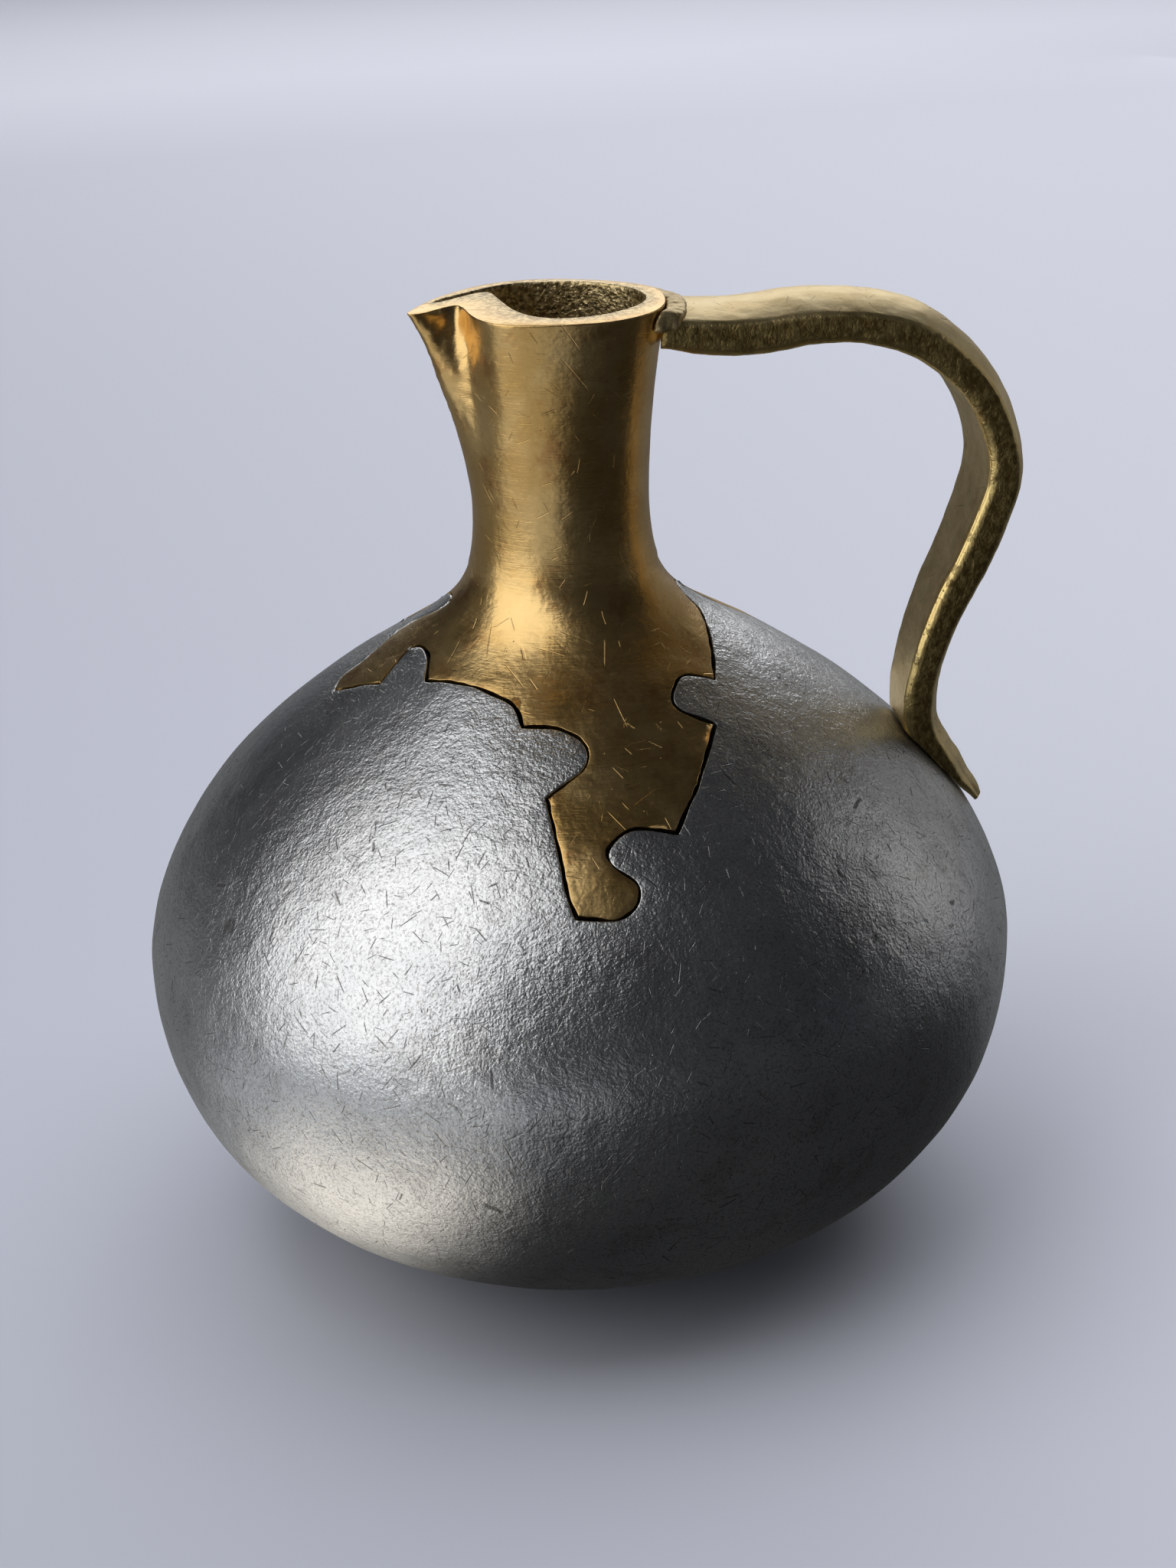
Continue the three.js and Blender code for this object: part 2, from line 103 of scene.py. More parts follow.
# Where hammer marks gather: beside the spout, from this height up.
SPOUT_FOLD = (-21, -3)
HAMMERED_FROM = 158
EASED_OUTLINE = (LIP_OUTLINE[:14]
                 + [(-26.0, -2.3), (-23.2, -2.9), (-20.0, -2.6), (-17.4, -3.2), (-15.7, -6.2)]
                 + LIP_OUTLINE[20:])
BORE_OUTLINE = [
    (17.0, 0.0), (15.4, 4.9), (12.4, 8.5), (7.9, 11.9), (3.0, 13.8), (-2.0, 14.9), (-6.6, 14.8),
    (-9.8, 13.5), (-15.6, 10.3), (-20.4, 7.0), (-21.2, 5.8), (-20.0, 5.9), (-15.6, 8.6),
    (-11.6, 10.6), (-10.0, 10.1), (-9.3, 6.5), (-8.6, 1.6), (-7.7, -3.7), (-5.7, -8.7),
    (-2.9, -11.6), (0.2, -12.9), (3.5, -13.1), (7.1, -12.5), (10.8, -10.7), (14.4, -7.7),
    (16.6, -3.8),
]

# Handle stations: share of the way up from the foot to the rim, reach outwards from the straight
# line between the two, sideways place, width, thickness at the edges, and crown.
FOOT_RISE = 37.0
HANDLE_STATIONS = [
    (0.965, -9.0, -2.0, 21.0, 5.8, 0.6),
    (0.948, -2.2, -2.0, 21.0, 5.8, 0.8),
    (0.928, 4.4, -2.0, 21.0, 6.6, 1.0),
    (0.923, 12.7, -2.0, 21.0, 6.8, 1.3),
    (0.931, 21.5, -2.0, 21.0, 6.5, 1.6),
    (0.927, 29.4, -2.0, 21.0, 6.2, 1.8),
    (0.911, 35.7, -2.0, 21.0, 6.5, 2.0),
    (0.885, 40.5, -2.0, 20.8, 6.7, 2.1),
    (0.841, 44.0, -2.1, 20.5, 6.5, 2.2),
    (0.774, 46.5, -2.2, 20.2, 6.2, 2.2),
    (0.704, 46.7, -2.3, 19.9, 6.2, 2.2),
    (0.621, 45.1, -2.6, 19.4, 6.4, 2.1),
    (0.552, 41.9, -3.0, 18.8, 6.8, 2.0),
    (0.481, 36.6, -3.5, 17.8, 6.9, 1.9),
    (0.379, 28.1, -4.1, 16.5, 6.9, 1.8),
    (0.274, 18.6, -4.8, 15.0, 6.5, 1.7),
    (0.161, 9.8, -5.5, 13.7, 6.0, 1.7),
    (0.077, 4.6, -6.0, 12.8, 6.1, 1.8),
    (0.011, 2.0, -6.0, 12.6, 6.0, 1.8),
    (-0.055, 2.1, -6.0, 12.0, 5.4, 1.8),
    (-0.091, 2.9, -6.0, 10.6, 4.6, 1.8),
    (-0.128, 3.8, -5.8, 8.6, 3.2, 1.8),
    (-0.161, 5.1, -5.6, 6.0, 1.7, 1.5),
    (-0.191, 5.7, -5.5, 3.6, 1.1, 0.9),
]
HANDLE_CORNER = 1.4

# Clearances, and how round the seam's and the rim's edges are.
SEAM_GAP = 0.24
STRAP_START_GAP = 0.5
FOOT_GAP = 0.12
BELLY_EDGE_ROUND = 0.38
NECK_EDGE_ROUND = 0.26

# How finely the pieces are cut. The belly's triangles give way to rings a little above its equator.
PROFILE_POINTS = 1600
BELLY_RINGS_START = 14.0
SKIN_SPACING = 1.35
SEAM_SPACING = 0.5
BELLY_COLUMNS = 390
NECK_COLUMNS = 190
NECK_RINGS = 52
SECTION_POINTS = 60
POINTS_PER_STATION = 10
BRAZE_VOXEL = 0.32


# Curves through points.

def smooth_curve(points, per_span, closed=False, centripetal=True):
    """Catmull-Rom curve through points. Ends are held, or mirrored on a centripetal curve."""
    points = np.asarray(points, float)
    count = len(points)
    if closed:
        padded = np.vstack([points[-1], points, points[:2]])
    elif centripetal:
        padded = np.vstack([2 * points[0] - points[1], points, 2 * points[-1] - points[-2]])
    else:
        padded = np.vstack([points[0], points, points[-1]])
    spans = count if closed else count - 1
    t = np.linspace(0, 1, per_span, endpoint=False)[:, None]
    curve = []
    for k in range(spans):
        a, b, c, d = padded[k:k + 4]
        gaps = [np.sqrt(np.linalg.norm(q - p)) if centripetal else 1.0
                for p, q in ((a, b), (b, c), (c, d))]
        leave = (b - a) / gaps[0] - (c - a) / (gaps[0] + gaps[1]) + (c - b) / gaps[1]
        reach = (c - b) / gaps[1] - (d - b) / (gaps[1] + gaps[2]) + (d - c) / gaps[2]
        leave = leave * gaps[1]
        reach = reach * gaps[1]
        square = -3 * b + 3 * c - 2 * leave - reach
        cube = 2 * b - 2 * c + leave + reach
        curve.append(b + leave * t + square * t ** 2 + cube * t ** 3)
    curve = np.vstack(curve)
    return curve if closed else np.vstack([curve, points[-1]])


def spaced(curve, count, closed=False):
    """Points at equal steps along a curve."""
    line = np.vstack([curve, curve[0]]) if closed else curve
    along = np.concatenate([[0], np.cumsum(np.linalg.norm(np.diff(line, axis=0), axis=1))])
    stops = np.linspace(0, along[-1], count + 1 if closed else count)[:count]
    return np.stack([np.interp(stops, along, line[:, i]) for i in range(line.shape[1])], axis=1)


# The vessel's profile, walked from the neck's waist down over the belly to the base's middle.

def superellipse(depth, power, turns):
    return np.stack([
        BODY_RADIUS * np.cos(turns) ** (2 / power),
        depth * np.sin(turns) ** (2 / power),
    ], axis=1)


def vessel_profile():
    fine = 240
    lower_depth = EQUATOR_HEIGHT + BASE_CUT
    base_turn = math.asin((EQUATOR_HEIGHT / lower_depth) ** (LOWER_POWER / 2))
    lower = superellipse(lower_depth, LOWER_POWER, np.linspace(0, base_turn, fine))
    lower[:, 1] = EQUATOR_HEIGHT - lower[:, 1]
    flare_turn = math.asin((FLARE_START_RISE / UPPER_DEPTH) ** (UPPER_POWER / 2))
    upper = superellipse(UPPER_DEPTH, UPPER_POWER, np.linspace(0, flare_turn, fine))
    upper[:, 1] += EQUATOR_HEIGHT
    lean = upper[-1] - upper[-4]
    lean *= FLARE_LOWER_LEAN / np.linalg.norm(lean)
    waist = np.array([WAIST_RADIUS, WAIST_HEIGHT])
    legs = [upper[-1], upper[-1] + lean, waist - np.array([0, FLARE_UPPER_LEAN]), waist]
    t = np.linspace(0, 1, fine)[:, None]
    flare = (legs[0] * (1 - t) ** 3 + 3 * legs[1] * t * (1 - t) ** 2
             + 3 * legs[2] * t ** 2 * (1 - t) + legs[3] * t ** 3)
    base = np.stack([np.linspace(lower[-1, 0], 0, 40), np.zeros(40)], axis=1)
    walk = np.vstack([flare[::-1], upper[::-1][1:], lower[1:], base[1:]])
    return spaced(walk, PROFILE_POINTS)


PROFILE = vessel_profile()
PROFILE_ALONG = np.concatenate([[0], np.cumsum(np.linalg.norm(np.diff(PROFILE, axis=0), axis=1))])
PROFILE_SLOPE = np.gradient(PROFILE, PROFILE_ALONG, axis=0)
PROFILE_LENGTH = PROFILE_ALONG[-1]
EQUATOR_ALONG = PROFILE_ALONG[np.argmax(PROFILE[:, 0])]


def radius_at(along):
    return np.interp(along, PROFILE_ALONG, PROFILE[:, 0])


def along_at_radius(radius):
    """Where the profile reaches a radius between the waist and the equator."""
    upper = PROFILE_ALONG <= EQUATOR_ALONG
    return np.interp(radius, PROFILE[upper, 0], PROFILE_ALONG[upper])


def skin_point(along, turn, depth=0.0):
    """A point on the vessel's skin, or so deep in its wall. The wall's depth is square to it."""
    down_r = np.interp(along, PROFILE_ALONG, PROFILE_SLOPE[:, 0])
    down_z = np.interp(along, PROFILE_ALONG, PROFILE_SLOPE[:, 1])
    reach = np.hypot(down_r, down_z)
    r = radius_at(along) + depth * down_z / reach
    r = np.where(radius_at(along) < 0.01, 0.0, np.maximum(r, 0.0))
    z = np.interp(along, PROFILE_ALONG, PROFILE[:, 1]) - depth * down_r / reach
    return np.stack([r * np.cos(turn), r * np.sin(turn), z], axis=-1)


# The seam between the two metals.

def seam_outline():
    """The skirt's edge as places on the skin: how far along the profile, and the turn."""
    runs = []
    for run in SKIRT_RUNS:
        curve = smooth_curve(run, 40, centripetal=False)
        length = np.linalg.norm(np.diff(curve, axis=0), axis=1).sum()
        runs.append(spaced(curve, max(3, round(1.25 * length / SEAM_SPACING)))[:-1])
    loop = np.vstack(runs)
    along = along_at_radius(np.hypot(loop[:, 0], loop[:, 1]))
    return along, np.arctan2(loop[:, 1], loop[:, 0])


def widened(along, turn, distance):
    """Places moved square to their loop, outwards from the skirt, along the skin."""
    down = np.roll(along, -1) - np.roll(along, 1)
    swing = np.roll(turn, -1) - np.roll(turn, 1)
    swing = (swing + math.pi) % (2 * math.pi) - math.pi
    across = swing * radius_at(along)
    length = np.hypot(down, across)
    return along + distance * across / length, turn - distance * down / length / radius_at(along)


def ragged(along, turn, size, wave, seed):
    """A smooth random number for each place, between about -size and size."""
    places = skin_point(along, turn) / wave
    return np.array([noise.noise(Vector(p) + Vector((seed, 0, 0))) for p in places]) * 2 * size


def flat(along, turn):
    """The skin laid out flat round the neck's axis, for triangulating it."""
    reach = along + WAIST_RADIUS
    return np.stack([reach * np.cos(turn), reach * np.sin(turn)], axis=-1)


def inside(points, loop):
    """Which flat points lie inside a closed flat loop."""
    result = np.zeros(len(points), bool)
    ends = np.roll(loop, -1, axis=0)
    for (x0, y0), (x1, y1) in zip(loop, ends):
        if y0 == y1:
            continue
        crosses = (points[:, 1] < y0) != (points[:, 1] < y1)
        result ^= crosses & (points[:, 0] < (x1 - x0) * (points[:, 1] - y0) / (y1 - y0) + x0)
    return result


def fill_places(first, last, seam):
    """Evenly spread places on the skin between two rings, clear of the seam."""
    alongs = []
    turns = []
    for k, along in enumerate(np.arange(first, last, SKIN_SPACING * 0.87)):
        count = max(24, round(2 * math.pi * float(radius_at(along)) / SKIN_SPACING))
        ring = (np.arange(count) + 0.5 * (k % 2)) * 2 * math.pi / count - math.pi
        alongs.append(np.full(count, along))
        turns.append(ring)
    along = np.concatenate(alongs)
    turn = np.concatenate(turns)
    places = skin_point(along, turn)
    tree = kdtree.KDTree(len(seam[0]))
    for i, p in enumerate(skin_point(*seam)):
        tree.insert(p, i)
    tree.balance()
    clear = np.array([tree.find(p)[2] > 0.75 * SKIN_SPACING for p in places])
    return along[clear], turn[clear]


def laid_out(seam, ring_along, columns, keep_inside):
    """Triangulates the skin between the seam and a ring. Gives the places with the seam's loop
    first and the ring next, and the triangles."""
    ring_turn = np.arange(columns) * 2 * math.pi / columns - math.pi
    ring = (np.full(columns, ring_along), ring_turn)
    half = 0.5 * SKIN_SPACING
    if keep_inside:
        first, last = ring_along + half, seam[0].max()
    else:
        first, last = seam[0].min(), ring_along - half
    fill = fill_places(first, last, seam)
    loop = flat(*seam)
    chosen = inside(flat(*fill), loop) == keep_inside
    along = np.concatenate([seam[0], ring[0], fill[0][chosen]])
    turn = np.concatenate([seam[1], ring[1], fill[1][chosen]])
    seams = len(seam[0])
    edges = [(i, (i + 1) % seams) for i in range(seams)]
    edges += [(seams + i, seams + (i + 1) % columns) for i in range(columns)]
    flat_points = flat(along, turn)
    spread = delaunay_2d_cdt([Vector(p) for p in flat_points], edges, [], 0, 1e-6)
    origin = [sources[0] if sources else -1 for sources in spread[3]]
    triangles = np.array([[origin[i] for i in face] for face in spread[2] if len(face) == 3])
    triangles = triangles[(triangles >= 0).all(axis=1)]
    middles = flat_points[triangles].mean(axis=1)
    within = inside(middles, loop)
    reach = np.hypot(middles[:, 0], middles[:, 1])
    edge_reach = (ring_along + WAIST_RADIUS) * math.cos(math.pi / columns)
    if keep_inside:
        kept = within & (reach > edge_reach)
    else:
        kept = ~within & (reach < edge_reach)
    return along, turn, triangles[kept]


# Meshes from points and faces.

def mesh_piece(name, points, faces, material):
    mesh = bpy.data.meshes.new(name)
    mesh.from_pydata((np.asarray(points) * MM).tolist(), [], [list(map(int, f)) for f in faces])
    piece = bpy.data.objects.new(name, mesh)
    bpy.context.scene.collection.objects.link(piece)
    mesh.materials.append(material)
    return piece


def only(piece):
    bpy.ops.object.select_all(action="DESELECT")
    piece.select_set(True)
    bpy.context.view_layer.objects.active = piece


def tidy_faces(piece):
    """Merges doubles and turns the faces outwards."""
    only(piece)
    bpy.ops.object.mode_set(mode="EDIT")
    bpy.ops.mesh.select_all(action="SELECT")
    bpy.ops.mesh.remove_doubles(threshold=0.01 * MM)
    bpy.ops.mesh.normals_make_consistent(inside=False)
    bpy.ops.object.mode_set(mode="OBJECT")


def finish_with(piece, kind, **settings):
    """Adds one modifier and applies it."""
    only(piece)
    modifier = piece.modifiers.new(kind.lower(), kind)
    for name, value in settings.items():
        setattr(modifier, name, value)
    bpy.ops.object.modifier_apply(modifier=modifier.name)


def smooth_shaded(piece):
    only(piece)
    bpy.ops.object.shade_smooth()


def move_points(piece, shift):
    """Moves each point along its normal by shift(points), all in millimetres."""
    mesh = piece.data
    count = len(mesh.vertices)
    flat_list = np.empty(3 * count)
    mesh.vertices.foreach_get("co", flat_list)
    points = flat_list.reshape(-1, 3) / MM
    normal_list = np.empty(3 * count)
    mesh.vertices.foreach_get("normal", normal_list)
    normals = normal_list.reshape(-1, 3)
    points = points + normals * shift(points)[:, None]
    mesh.vertices.foreach_set("co", (points * MM).ravel())
    mesh.update()


def bumps(points, wave, seed):
    """Smooth random heights between about -1 and 1, with hills about a wave across."""
    offset = Vector((seed, 2.7 * seed, 1.3 * seed))
    return np.array([noise.noise(Vector(p) / wave + offset) for p in points])


# The studio.

CAMERA_TARGET = Vector((2.84, -0.45, 89.14)) * MM
CAMERA_DISTANCE = 600 * MM
CAMERA_AZIMUTH = -9.0
CAMERA_ELEVATION = 23.04
CAMERA_ROLL = 2.4
CAMERA_LENS = 71.07

FLOOR_SIZE = 12
# The sheet of painted reflections just over the floor.
REFLECTION_SHEET_SIZE = 3.0
REFLECTION_SHEET_HEIGHT = 0.001


def place_camera():
    camera = bpy.data.objects.new("camera", bpy.data.cameras.new("camera"))
    bpy.context.scene.collection.objects.link(camera)
    camera.data.lens = CAMERA_LENS
    camera.data.clip_end = 20
    turn = (Matrix.Rotation(math.radians(CAMERA_AZIMUTH), 3, "Z")
            @ Matrix.Rotation(math.radians(90 - CAMERA_ELEVATION), 3, "X")
            @ Matrix.Rotation(math.radians(-CAMERA_ROLL), 3, "Z"))
    camera.rotation_euler = turn.to_euler()
    camera.location = CAMERA_TARGET + turn @ Vector((0, 0, CAMERA_DISTANCE))
    bpy.context.scene.camera = camera


def toward(azimuth, elevation):
    """Unit vector to a place round the pitcher. Azimuth 0 is the front (-Y), 90 the handle's
    side."""
    a = math.radians(azimuth)
    e = math.radians(elevation)
    return Vector((math.sin(a) * math.cos(e), -math.cos(a) * math.cos(e), math.sin(e)))


def soft_lamp(name, azimuth, elevation, distance, size, radiance, colour, aim=(0, 0, 0.09)):
    """A flat soft lamp that faces the pitcher."""
    lamp = bpy.data.lights.new(name, "AREA")
    lamp.shape = "RECTANGLE"
    lamp.size, lamp.size_y = size
    lamp.energy = radiance * math.pi * size[0] * size[1]
    lamp.color = colour
    holder = bpy.data.objects.new(name, lamp)
    bpy.context.scene.collection.objects.link(holder)
    direction = toward(azimuth, elevation)
    holder.location = Vector(aim) + direction * distance
    holder.rotation_euler = direction.to_track_quat("Z", "Y").to_euler()
    return holder


def light_studio():
    bpy.context.scene.view_settings.view_transform = "Standard"
    soft_lamp("window_left", -70, 35, 1.0, (1.16, 1.6), 1.42, (1.0, 0.995, 0.98))
    soft_lamp("strip_right", 95, 16, 0.9, (0.08, 0.6), 1.3, (1.0, 0.97, 0.93))
    soft_lamp("wall_right", 128, 12, 1.1, (1.2, 0.9), 0.18, (1.0, 0.98, 0.95))
    soft_lamp("wall_behind", 168, 25, 1.6, (1.3, 0.9), 1.75, (0.99, 0.99, 0.99))
    overhead = soft_lamp("overhead", 90, 86, 2.2, (3.4, 3.4), 1.5, (0.96, 0.975, 1.0),
                         aim=(0.3, 0.7, 0))
    overhead.visible_glossy = False
    world = bpy.data.worlds.new("dim_room")
    bpy.context.scene.world = world
    world.use_nodes = True
    background = world.node_tree.nodes["Background"]
    background.inputs["Color"].default_value = (0.80, 0.84, 0.92, 1)
    background.inputs["Strength"].default_value = 0.03


# Materials.

class Wire:
    """One output in a material's node tree. Operators on wires and numbers add Math nodes."""

    def __init__(self, tree, socket):
        self.tree = tree
        self.socket = socket

    def node(self, kind, settings=None, sockets=None, output=0):
        """Adds a node, sets it up, feeds its sockets, and gives one of its outputs."""
        made = self.tree.nodes.new(kind)
        for name, value in (settings or {}).items():
            if name == "stops":
                set_stops(made.color_ramp, value)
            else:
                setattr(made, name, value)
        for name, value in (sockets or {}).items():
            if isinstance(value, Wire):
                self.tree.links.new(value.socket, made.inputs[name])
            else:
                made.inputs[name].default_value = value
        return Wire(self.tree, made.outputs[output])

    def beside(self, output):
        """Another output of the same node."""
        return Wire(self.tree, self.socket.node.outputs[output])

    def maths(self, operation, *values):
        return self.node("ShaderNodeMath", {"operation": operation}, dict(enumerate(values)))

    def vector(self, operation, *values, output=0):
        settings = {"operation": operation}
        return self.node("ShaderNodeVectorMath", settings, dict(enumerate(values)), output)

    def __add__(self, other):
        return self.maths("ADD", self, other)

    __radd__ = __add__

    def __sub__(self, other):
        return self.maths("SUBTRACT", self, other)

    def __rsub__(self, other):
        return self.maths("SUBTRACT", other, self)

    def __mul__(self, other):
        return self.maths("MULTIPLY", self, other)

    __rmul__ = __mul__

    def __abs__(self):
        return self.maths("ABSOLUTE", self)


def set_stops(ramp, stops):
    """Colour stops given as (place, colour) pairs."""
    while len(ramp.elements) < len(stops):
        ramp.elements.new(1.0)
    for element, (place, colour) in zip(ramp.elements, stops):
        element.position = place
        element.color = colour


def new_material(name):
    """A material, its Principled shader, and the piece's own coordinates."""
    material = bpy.data.materials.new(name)
    material.use_nodes = True
    tree = material.node_tree
    shader = tree.nodes["Principled BSDF"]
    coordinates = tree.nodes.new("ShaderNodeTexCoord")
    return material, shader, Wire(tree, coordinates.outputs["Object"])


def grain(place, size, detail=2.0, rough=0.5, swirl=0.0):
    """Noise with grains of about that many millimetres."""
    return place.node("ShaderNodeTexNoise", {}, {
        "Vector": place, "Scale": 1 / (size * MM), "Detail": detail, "Roughness": rough,
        "Distortion": swirl,
    }, "Fac")


def rise(value, low, high):
    """0 below low, 1 above high, and smooth between them."""
    return value.node("ShaderNodeMapRange", {"interpolation_type": "SMOOTHSTEP"}, {
        "Value": value, "From Min": low, "From Max": high,
    }, "Result")


def blend(share, first, second):
    """A colour between two colours."""
    return share.node("ShaderNodeMix", {"data_type": "RGBA"}, {0: share, 6: first, 7: second}, 2)


def cells(place, spacing, seed):
    """Cells about so many millimetres across: the place in its cell, and the cell's own colour."""
    moved = place.vector("ADD", place, (seed, 0.7 * seed, 0.3 * seed))
    centre = place.node("ShaderNodeTexVoronoi", {}, {
        "Vector": moved, "Scale": 1 / (spacing * MM),
    }, "Position")
    return moved.vector("SUBTRACT", moved, centre), centre.beside("Color")


def picked(colour, share):
    """1 in a share of the cells and 0 in the others."""
    across = colour.node("ShaderNodeSeparateXYZ", {}, {"Vector": colour}, "X")
    shuffled = across.maths("MULTIPLY", across, 37.0)
    shuffled = shuffled.maths("FRACT", shuffled)
    return shuffled.maths("LESS_THAN", shuffled, share)


def scratches(place, spacing, width, share, seed):
    """Straight scratches, one in a cell, each in a direction of its own."""
    arm, colour = cells(place, spacing, seed)
    centred = colour.vector("SUBTRACT", colour, (0.5, 0.5, 0.5))
    direction = centred.vector("NORMALIZE", centred)
    off_line = abs(arm.vector("DOT_PRODUCT", arm, direction, output="Value"))
    reach = arm.vector("LENGTH", arm, output="Value")
    line = 1 - rise(off_line, 0.3 * width * MM, width * MM)
    span = 1 - rise(reach, 0.3 * spacing * MM, 0.48 * spacing * MM)
    return line * span * picked(colour, share)


def pits(place, spacing, radius, share, seed):
    """Small round pits, one in a cell."""
    arm, colour = cells(place, spacing, seed)
    reach = arm.vector("LENGTH", arm, output="Value")
    return (1 - rise(reach, 0.4 * radius * MM, radius * MM)) * picked(colour, share)


def with_relief(shader, height):
    """Feeds a height in metres to the shader's normal."""
    bump = height.node("ShaderNodeBump", {}, {"Strength": 1.0, "Distance": 1.0, "Height": height})
    height.tree.links.new(bump.socket, shader.inputs["Normal"])


def feed(shader, name, wire):
    wire.tree.links.new(wire.socket, shader.inputs[name])


def cast_aluminium():
    material, shader, place = new_material("cast_aluminium")
    peel = grain(place, 3.4, 3, 0.55)
    pebbles = grain(place, 1.3, 2, 0.6)
    creases = rise(abs(grain(place, 7, 3, 0.6, 1.2) - 0.5), 0.0, 0.05)
    fine = grain(place, 0.45, 2, 0.6)
    sparkle = grain(place, 0.85, 2, 0.65)
    marks = scratches(place, 2.8, 0.085, 0.8, 0.011)
    more_marks = scratches(place, 4.6, 0.11, 0.6, 0.037)
    holes = pits(place, 2.3, 0.2, 0.5, 0.053)
    cuts = marks.maths("MAXIMUM", marks, more_marks)
    height = (peel * (0.22 * MM) + pebbles * (0.06 * MM) + creases * (0.01 * MM)
              + fine * (0.085 * MM) + sparkle * (0.06 * MM)
              - cuts * (0.03 * MM) - holes * (0.05 * MM))
    with_relief(shader, height)
    cloud = grain(place, 26, 4, 0.6)
    speckle = rise(grain(place, 0.55, 3, 0.8), 0.50, 0.64)
    grime = rise(grain(place, 11, 5, 0.7), 0.50, 0.66)
    skin = blend(rise(cloud, 0.35, 0.65), (0.63, 0.645, 0.665, 1), (0.74, 0.75, 0.76, 1))
    grimed = blend(speckle * 0.65 + grime * 0.25, skin, (0.24, 0.23, 0.215, 1))
    marked = blend(cuts * 0.75 + holes * 0.6, grimed, (0.10, 0.095, 0.09, 1))
    feed(shader, "Base Color", marked)
    feed(shader, "Roughness", 0.25 + cloud * 0.08 + speckle * 0.06 + cuts * 0.1)
    shader.inputs["Metallic"].default_value = 1.0
    return material


def brushed_brass():
    material, shader, place = new_material("brushed_brass")
    bore = place.node("ShaderNodeAttribute", {"attribute_name": "bore"}, {}, "Fac")
    stretched = place.vector("MULTIPLY", place, (0.05, 0.05, 1.0))
    strokes = grain(stretched, 0.22, 2, 0.7)
    wide_strokes = grain(stretched, 1.1, 3, 0.6)
    waves = grain(place, 6, 3, 0.5)
    marks = scratches(place, 3.4, 0.09, 0.7, 0.023)
    long_marks = scratches(place, 9.0, 0.12, 0.7, 0.071)
    holes = pits(place, 2.4, 0.17, 0.35, 0.041)
    cuts = marks.maths("MAXIMUM", marks, long_marks)
    height = (waves * (0.18 * MM) + grain(place, 1.5, 2, 0.6) * (0.04 * MM)
              + grain(place, 0.5, 2, 0.6) * (0.02 * MM)
              + (strokes * (0.032 * MM) + wide_strokes * (0.045 * MM)) * (1 - bore)
              + bore * grain(place, 1.1, 2, 0.6) * (0.35 * MM)
              - cuts * (0.035 * MM) - holes * (0.05 * MM))
    with_relief(shader, height)
    cloud = grain(place, 14, 4, 0.62)
    stain = rise(grain(place, 9, 4, 0.7), 0.52, 0.72)
    skin = blend(rise(cloud, 0.3, 0.7), (0.62, 0.39, 0.135, 1), (0.78, 0.545, 0.24, 1))
    stained = blend(stain * 0.75, skin, (0.47, 0.24, 0.085, 1))
    marked = blend(cuts * 0.12 + holes * 0.6, stained, (0.20, 0.12, 0.04, 1))
    raw = blend(rise(grain(place, 0.9, 2, 0.6), 0.35, 0.65), (0.26, 0.19, 0.08, 1),
                (0.78, 0.62, 0.34, 1))
    feed(shader, "Base Color", blend(bore, marked, raw))
    feed(shader, "Roughness", 0.2 + strokes * 0.12 + cloud * 0.07 + bore * 0.08)
    shader.inputs["Metallic"].default_value = 1.0
    return material


def strap_brass(name, has_wear_and_painted_light):
    """Dull rough-cast brass. Where the piece has them, its rubbed outer face is smooth and pale,
    its inner face is pale with painted light, and its front edges are polished and bright, partly a
    painted highlight."""
    material, shader, place = new_material(name)
    lumps = grain(place, 2.6, 4, 0.62)
    ribs = grain(place.vector("MULTIPLY", place, (1.0, 0.35, 0.55)), 0.8, 3, 0.65)
    grit = grain(place, 0.5, 2, 0.6)
    marks = scratches(place, 3.2, 0.09, 0.7, 0.029)
    holes = pits(place, 2.1, 0.22, 0.5, 0.061)
    cloud = grain(place, 8, 4, 0.6)
    if has_wear_and_painted_light:
        # The pale faces: the outer one rubbed smooth, the inner one pale with painted light.
        wear_and_painted_light = place.node("ShaderNodeAttribute", {"attribute_name": "worn_face"}, {}, "Fac")
        edge = place.node("ShaderNodeAttribute", {"attribute_name": "burnished"}, {}, "Fac")
        # The front edges: polished, partly a painted highlight.
        burnished = edge * rise(lumps, 0.28, 0.5)
    else:
        wear_and_painted_light = cloud * 0.2
        burnished = cloud * 0.1
    polish = wear_and_painted_light.maths("MAXIMUM", wear_and_painted_light, burnished)
    rough = 1 - 0.8 * polish
    height = (lumps * (0.46 * MM) * rough + ribs * (0.15 * MM) * rough
              + grit * (0.05 * MM) * (1 - 0.6 * polish)
              - marks * (0.02 * MM) - holes * (0.05 * MM))
    with_relief(shader, height)
    raised = rise(lumps * 0.5 + ribs, 0.60, 0.92)
    dull = blend(raised, (0.27, 0.18, 0.06, 1), (0.56, 0.42, 0.17, 1))
    pale = blend(rise(cloud, 0.3, 0.7), (0.68, 0.52, 0.26, 1), (0.84, 0.69, 0.40, 1))
    topped = blend(wear_and_painted_light, dull, pale)
    bright = blend(burnished, topped, (0.88, 0.68, 0.29, 1))
    marked = blend(marks * 0.5 + holes * 0.6, bright, (0.16, 0.10, 0.04, 1))
    feed(shader, "Base Color", marked)
    feed(shader, "Roughness", 0.42 + cloud * 0.1 - burnished * 0.16)
    shader.inputs["Metallic"].default_value = 1.0
    return material


def braze_filler():
    material, shader, place = new_material("braze_filler")
    ripple = grain(place, 1.6, 3, 0.6, 0.8)
    grit = grain(place, 0.4, 2, 0.6)
    with_relief(shader, ripple * (0.2 * MM) + grit * (0.02 * MM))
    cloud = grain(place, 3, 3, 0.6)
    feed(shader, "Base Color", blend(rise(cloud, 0.35, 0.65), (0.36, 0.26, 0.11, 1),
                                     (0.70, 0.56, 0.31, 1)))
    feed(shader, "Roughness", 0.36 + cloud * 0.2)
    shader.inputs["Metallic"].default_value = 1.0
    return material


